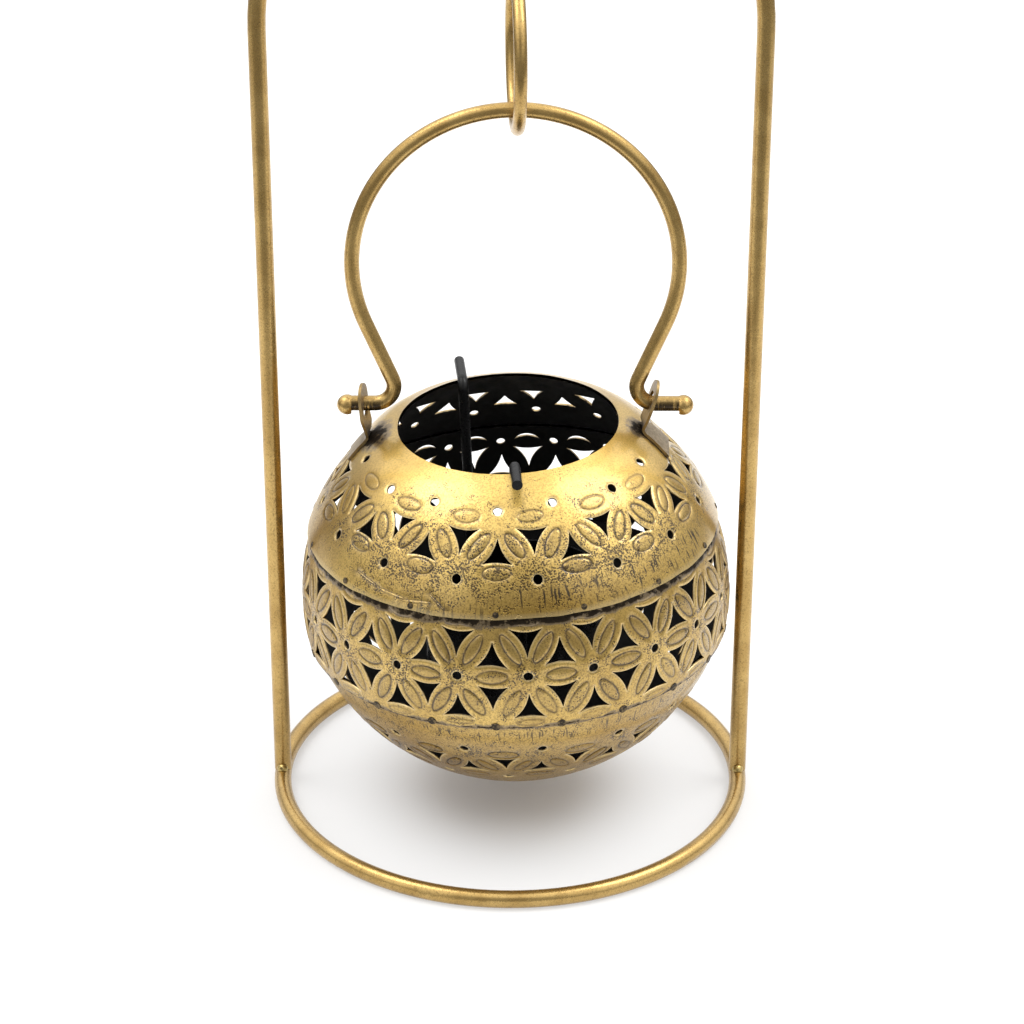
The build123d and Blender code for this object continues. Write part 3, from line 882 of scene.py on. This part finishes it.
        # Darker low in front.
        front = (0.10 + 0.52 * bell(wrap(az - 8), 26)) * (1 - fade(alt, 23, 34))
        # Painted shade: darker at the far left, low on the dome.
        left = 0.55 * fade(-np.sin(np.radians(az)), 0.79, 0.97) * (1 - fade(alt, 40, 58))
        return {
            "stain": self.burnt(az, alt),
            "pits": pits,
            "scratch": self.scratched(az, alt),
            "patina": np.maximum(front, left),
        }


class LowerBowl(Shell):
    """The closed lower sheet with one row of half flowers."""

    closed = True
    flowers = [-39.1, -16.1, 6.8, 30.5, 52.3, 74.1, 93.4, 112.7, 132, 154, 176.5, 199, 221.5]
    flowers += [243, 262.5, 282, 301.4]
    low_row, high_row = -43.0, -30.2

    def __init__(self):
        super().__init__(hub_r=0, hub_h=1.652, radius=69.152, low=level(-56.0), high=level(-14.45), seed=9)
        for flower, gap in zip(self.flowers, between(self.flowers)):
            self.pierce(wrap(flower), wrap(gap))
            self.engrave(wrap(flower), wrap(gap), (gap - flower) / 2)

    def pierce(self, az, gap):
        rng, third = self.rng, (self.high_row - self.low_row) / 3
        self.cuts += [
            triangle(az, self.low_row + third, True, 5.6, (1.9, 2.0, 1.9), rng),
            triangle(gap, self.high_row - third, False, 5.6, (1.9, 2.0, 1.9), rng),
            round_hole(az, -27.9 + rng.uniform(-0.3, 0.3), 2.9, rng),
            round_hole(gap, -45.3 + rng.uniform(-0.3, 0.3), 2.9, rng),
        ]
        self.hearts.append((az, -30))

    def engrave(self, az, gap, side_step):
        self.add_leaf(gap, self.high_row + 0.2, 0, long=4.4, wide=2.0)
        self.add_leaf(az, self.low_row - 0.6, 0, long=4.2, wide=1.9)
        for side in (1, -1):
            at = az + side * side_step, (self.low_row + self.high_row) / 2
            self.add_leaf(*at, -side * 53, long=4.4, wide=1.8)

    def marks(self, az, alt):
        """A dark seam under the band, grime with painted shadow, scratches below it, and patina, with the
        sheet darker low down and at the left.
        """
        left = fade(-np.sin(np.radians(az)), 0.17, 0.57)
        return {
            # Painted shadow: the seam under the band's edge, together with grime.
            "stain": 0.9 * fade(alt, -18.5, -17.9),
            "pits": 0.45 + 0.3 * self.about_hearts(az, alt),
            "scratch": 0.8 * fade(alt, -24.5, -23) * (1 - fade(alt, -19.5, -18.8)),
            # Darker low down and at the left.
            "patina": 0.20 + 0.55 * fade(-alt, 22, 40) + 0.35 * left,
        }


class Strip:
    """Bent strip on the dome: a foot that follows it, a round bend and an upright end with a hole.

    Along the strip, s is nought at the bend and less on the foot. Across it, w is plus towards the front.
    """

    half = 4.75
    bend = 1.8
    hole_d = 5.45
    off_dome = 0.1

    def __init__(self, dome, side, bend_at, lean, yaw):
        self.dome, self.side = dome, side
        self.bend_alt = math.degrees(math.acos((bend_at - dome.hub_r) / dome.radius))
        lean, yaw = math.radians(lean), math.radians(yaw)
        self.upward = np.array((side * math.sin(lean), 0, math.cos(lean)))
        self.across = np.array((side * math.sin(yaw), -math.cos(yaw), 0))
        self.root = self.on_dome(0, np.zeros(1))[0]
        self.pin_s = (PIN_H - self.root[2]) / self.upward[2]
        self.pin_w = -self.root[1] / self.across[1]

    def on_dome(self, s, w):
        alt = self.bend_alt + np.degrees(s / self.dome.radius)
        az = self.side * (90 - np.degrees(w / self.dome.ring(alt)))
        return self.dome.point(az, alt, self.off_dome)

    def upright(self, s, w):
        share = fade(s, 0, 5)[:, None]
        bent, flat = self.on_dome(0, w), self.root + w[:, None] * self.across
        return (1 - share) * bent + share * flat + s[:, None] * self.upward

    def place(self, s, w):
        share = np.clip((s + self.bend) / (2 * self.bend), 0, 1)[:, None]
        curve = (1 - share) ** 2 * self.on_dome(-self.bend, w)
        curve += 2 * share * (1 - share) * self.on_dome(0, w)
        curve += share**2 * self.upright(np.full(len(s), self.bend), w)
        foot, end = self.on_dome(np.minimum(s, 0), w), self.upright(np.maximum(s, 0), w)
        flat = np.where((s < 0)[:, None], foot, end)
        return np.where((np.abs(s) < self.bend)[:, None], curve, flat)

    def facing(self, s, w):
        step = 0.05
        along = self.place(s + step, w) - self.place(s - step, w)
        return unit(np.cross(along, self.place(s, w + step) - self.place(s, w - step)) * self.side)

    def outline(self, rise, foot, fronts, backs):
        """Edge of the strip, from widths in front and behind at the foot's end and at the bend."""
        top = self.pin_s + rise - self.half
        s = np.concatenate([np.linspace(-foot, 0, 8), np.linspace(0.8, top, 16)])
        stops = (-foot, 0, 0.45 * self.pin_s, 0.8 * self.pin_s)
        front = np.interp(s, stops, (*fronts, 0.5 * (fronts[1] + self.half), self.half))
        back = np.interp(s, stops, (*backs, 0.5 * (backs[1] + self.half), self.half))
        arc = np.linspace(0, math.pi, 18)[1:-1]
        loop_s = np.concatenate([s, top + self.half * np.sin(arc), s[::-1]])
        loop_w = np.concatenate([front, self.half * np.cos(arc), -back[::-1]])
        return loop_s, loop_w + self.pin_w

    def hole(self):
        turn = np.linspace(0, 2 * math.pi, 28, endpoint=False)
        reach = self.hole_d / 2
        return self.pin_s + reach * np.cos(turn), self.pin_w + reach * np.sin(turn)

    def triangles(self, loop, hole):
        """Points of the strip laid flat, and its triangles turned to face outward."""
        outline, opening = Cut(0, 0, loop[0][::-1], loop[1][::-1]), Cut(0, 0, *hole)
        rows_s, rows_w = np.arange(loop[0].min() + 0.6, loop[0].max(), 0.7), np.arange(-8.5, 9, 1.2)
        grid_s, grid_w = (rows.ravel() for rows in np.meshgrid(rows_s, rows_w))
        free = (outline.distance(grid_s, grid_w) < -0.35) & (opening.distance(grid_s, grid_w) > 0.35)
        s = np.concatenate([loop[0], hole[0], grid_s[free]])
        w = np.concatenate([loop[1], hole[1], grid_w[free]])
        first, end = len(loop[0]), len(loop[0]) + len(hole[0])
        lines = loop_lines(list(range(first))) + loop_lines(list(range(first, end)))
        out = delaunay_2d_cdt([Vector(p) for p in zip(s, w)], lines, [], 0, 1e-5, True)
        s, w = np.array([tuple(p) for p in out[0]]).T
        faces = np.array(out[2])
        middle = s[faces].mean(1), w[faces].mean(1)
        faces = faces[(outline.distance(*middle) < 0) & (opening.distance(*middle) > 0)]
        points, normals = self.place(s, w), self.facing(s, w)
        a, b, c = (points[faces[:, i]] for i in range(3))
        wrong = np.einsum("ij,ij->i", np.cross(b - a, c - a), normals[faces[:, 0]]) < 0
        faces[wrong] = faces[wrong][:, ::-1]
        return s, points, normals, faces

    def add_edge(self, sheet, line, is_hole):
        """Cut edge along the outline or the hole."""
        low, lift = self.place(*line), SHEET * self.facing(*line)
        out = unit(np.cross(np.roll(low, -1, 0) - np.roll(low, 1, 0), lift))
        middle = self.place(*(values.mean(keepdims=True) for values in line))[0]
        quads = band_faces(len(low))
        if (np.dot(out[0], low[0] - middle) < 0) != is_hole:
            out = -out
            quads = [quad[::-1] for quad in quads]
        sheet.add(np.concatenate([low, low + lift]), np.concatenate([out, out]), quads, edge=1.0)


def lug(strip, rise, foot, fronts, backs):
    """Mesh of a lug: its two faces, scorched at the bend, and its cut edges. The inner face is scorched more
    darkly, which adds painted shade.
    """
    loop, hole = strip.outline(rise, foot, fronts, backs), strip.hole()
    s, points, normals, faces = strip.triangles(loop, hole)
    scorch = bell(s, 3.5)
    sheet = Sheet()
    sheet.add(points + SHEET * normals, normals, faces, stain=0.35 * scorch)
    # Painted shade: the inner face takes the scorch at over three times the strength.
    sheet.add(points, -normals, faces[:, ::-1], stain=np.clip(1.1 * scorch, 0, 1))
    strip.add_edge(sheet, loop, is_hole=False)
    strip.add_edge(sheet, hole, is_hole=True)
    return sheet


def left_lug(dome):
    """The left lug stands nearly upright, turned a little, with its foot behind the pin."""
    strip = Strip(dome, side=-1, bend_at=42.9, lean=2.5, yaw=10)
    return lug(strip, rise=8.6, foot=9.0, fronts=(1.0, 0.0), backs=(8.5, 7.5))


def right_lug(dome):
    """The right lug leans outward, on a longer foot."""
    strip = Strip(dome, side=1, bend_at=40.8, lean=18.5, yaw=4)
    return lug(strip, rise=6.4, foot=11.0, fronts=(7.4, 3.4), backs=(5.5, 5.5))


def look(material, *names):
    """Gives solids from the frame their material."""
    for name in names:
        mesh = nodes[name].data
        mesh.materials.clear()
        mesh.materials.append(material)


def camera():
    """Camera at the picture's viewing angle, with a slight roll in radians."""
    back, up, look_down, roll = 0.8953, 0.5549, 26.994, 0.0017
    data = bpy.data.cameras.new("camera")
    data.lens = 111.42
    data.sensor_width = 36
    data.shift_x = 0.00135
    data.clip_start = 0.05
    obj = bpy.data.objects.new("camera", data)
    obj.matrix_world = (
        Matrix.Translation((0, -back, up))
        @ Matrix.Rotation(math.radians(90 - look_down), 4, "X")
        @ Matrix.Rotation(roll, 4, "Z")
    )
    scene.collection.objects.link(obj)
    scene.camera = obj


def floor_paint():
    """Pale paint. A painted glow, a ring of white emission about the foot, lightens the rim of the shadow
    where it is seen or mirrored.
    """
    dim, bright, black = (0.825, 0.825, 0.825), (0.835, 0.835, 0.835), (0, 0, 0)
    t = Tree(bpy.data.materials.new("floor"))
    here = t.place()
    tone = t.mix(t.noise(here, 3), dim, bright)
    away = t.add("ShaderNodeVectorMath", {0: here}, operation="LENGTH").outputs["Value"]
    # Painted light: white emission in a ring about the foot, in place of part of the paint's colour.
    painted_glow = t.math("MULTIPLY", t.ramp(away, 0.018, 0.060, 0.0, 0.5), t.ramp(away, 0.09, 0.15, 1.0, 0.0))
    painted_glow = t.math("MULTIPLY", painted_glow, t.seen())
    return t.set(
        Base_Color=t.mix(painted_glow, tone, black),
        Roughness=0.9,
        Specular_IOR_Level=0.1,
        Emission_Strength=painted_glow,
    )


def floor():
    """A table of modest size, so that only what stands low mirrors its whiteness."""
    left, right, front, back, top = -0.8, 0.8, -0.30, 1.6, -0.0002
    corners = [(left, front, top), (right, front, top), (right, back, top), (left, back, top)]
    mesh = bpy.data.meshes.new("floor")
    mesh.from_pydata(corners, [], [(0, 1, 2, 3)])
    mesh.materials.append(floor_paint())
    obj = bpy.data.objects.new("floor", mesh)
    scene.collection.objects.link(obj)


def softbox(name, azimuth, elevation, power):
    """Round soft light aimed at the globe."""
    aim, distance, size = Vector((0, 0, 0.12)), 1.1, 0.65
    data = bpy.data.lights.new(name, "AREA")
    data.shape = "DISK"
    data.size = size
    data.energy = power
    turn, rise = math.radians(azimuth), math.radians(elevation)
    way = Vector((math.cos(rise) * math.sin(turn), -math.cos(rise) * math.cos(turn), math.sin(rise)))
    obj = bpy.data.objects.new(name, data)
    obj.location = aim + way * distance
    obj.rotation_euler = way.to_track_quat("Z", "Y").to_euler()
    scene.collection.objects.link(obj)


def studio():
    """White tent, brighter overhead than at its sides and dim in front of the lantern.

    It is plain white where it is seen directly, and behind the lantern its mirror image is white too.
    """
    dim_side = (0, -0.906, 0.423)
    t = Tree(bpy.data.worlds.new("studio"), "Background")
    way = t.add("ShaderNodeTexCoord").outputs["Generated"]
    ahead = t.add("ShaderNodeVectorMath", {0: way, 1: dim_side}, operation="DOT_PRODUCT").outputs["Value"]
    tent = t.ramp(t.split(way, "Z"), 0.0, 0.55, 0.30, 1.5)
    tent = t.ramp(ahead, 0.82, 0.97, tent, 0.35)
    seen = t.seen(mirrored=t.ramp(ahead, -0.80, -0.92))
    scene.world = t.set(Color=(1, 1, 1), Strength=t.ramp(seen, 0.0, 1.0, tent, 1.0))


shells = {"dome": Dome(), "middle_band": MiddleBand(), "lower_bowl": LowerBowl()}
shell_materials = [shell_brass(), black_inside()]
for name, shell in shells.items():
    piece = build_shell(shell).finish("pierced_" + name, shell_materials)
    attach(piece, "globe")
    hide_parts(name)

lug_materials = [lug_brass()]
for node, maker in (("left_lug", left_lug), ("right_lug", right_lug)):
    piece = maker(shells["dome"]).finish("bent_" + node, lug_materials)
    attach(piece, "globe")
    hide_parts(node)

rods = ("base_ring", "stand_arch", "hanger_hook", "hang_ring", "left_end_ball", "right_end_ball")
look(rod_brass("rod_brass"), *rods)
look(rod_brass("bail_brass", pins_worn=True), "bail")
look(weld_metal(), "left_foot_weld", "right_foot_weld", "hook_weld")
look(tack_metal(), "upper_seam_tacks", "lower_seam_tacks")
look(black_iron(), "front_hook_wire", "rear_hook_wire", "tealight_cup")

camera()
floor()
softbox("left_softbox", azimuth=-95, elevation=60, power=3.5)
softbox("right_softbox", azimuth=98, elevation=57, power=4.45)
studio()
scene.view_settings.view_transform = "Standard"
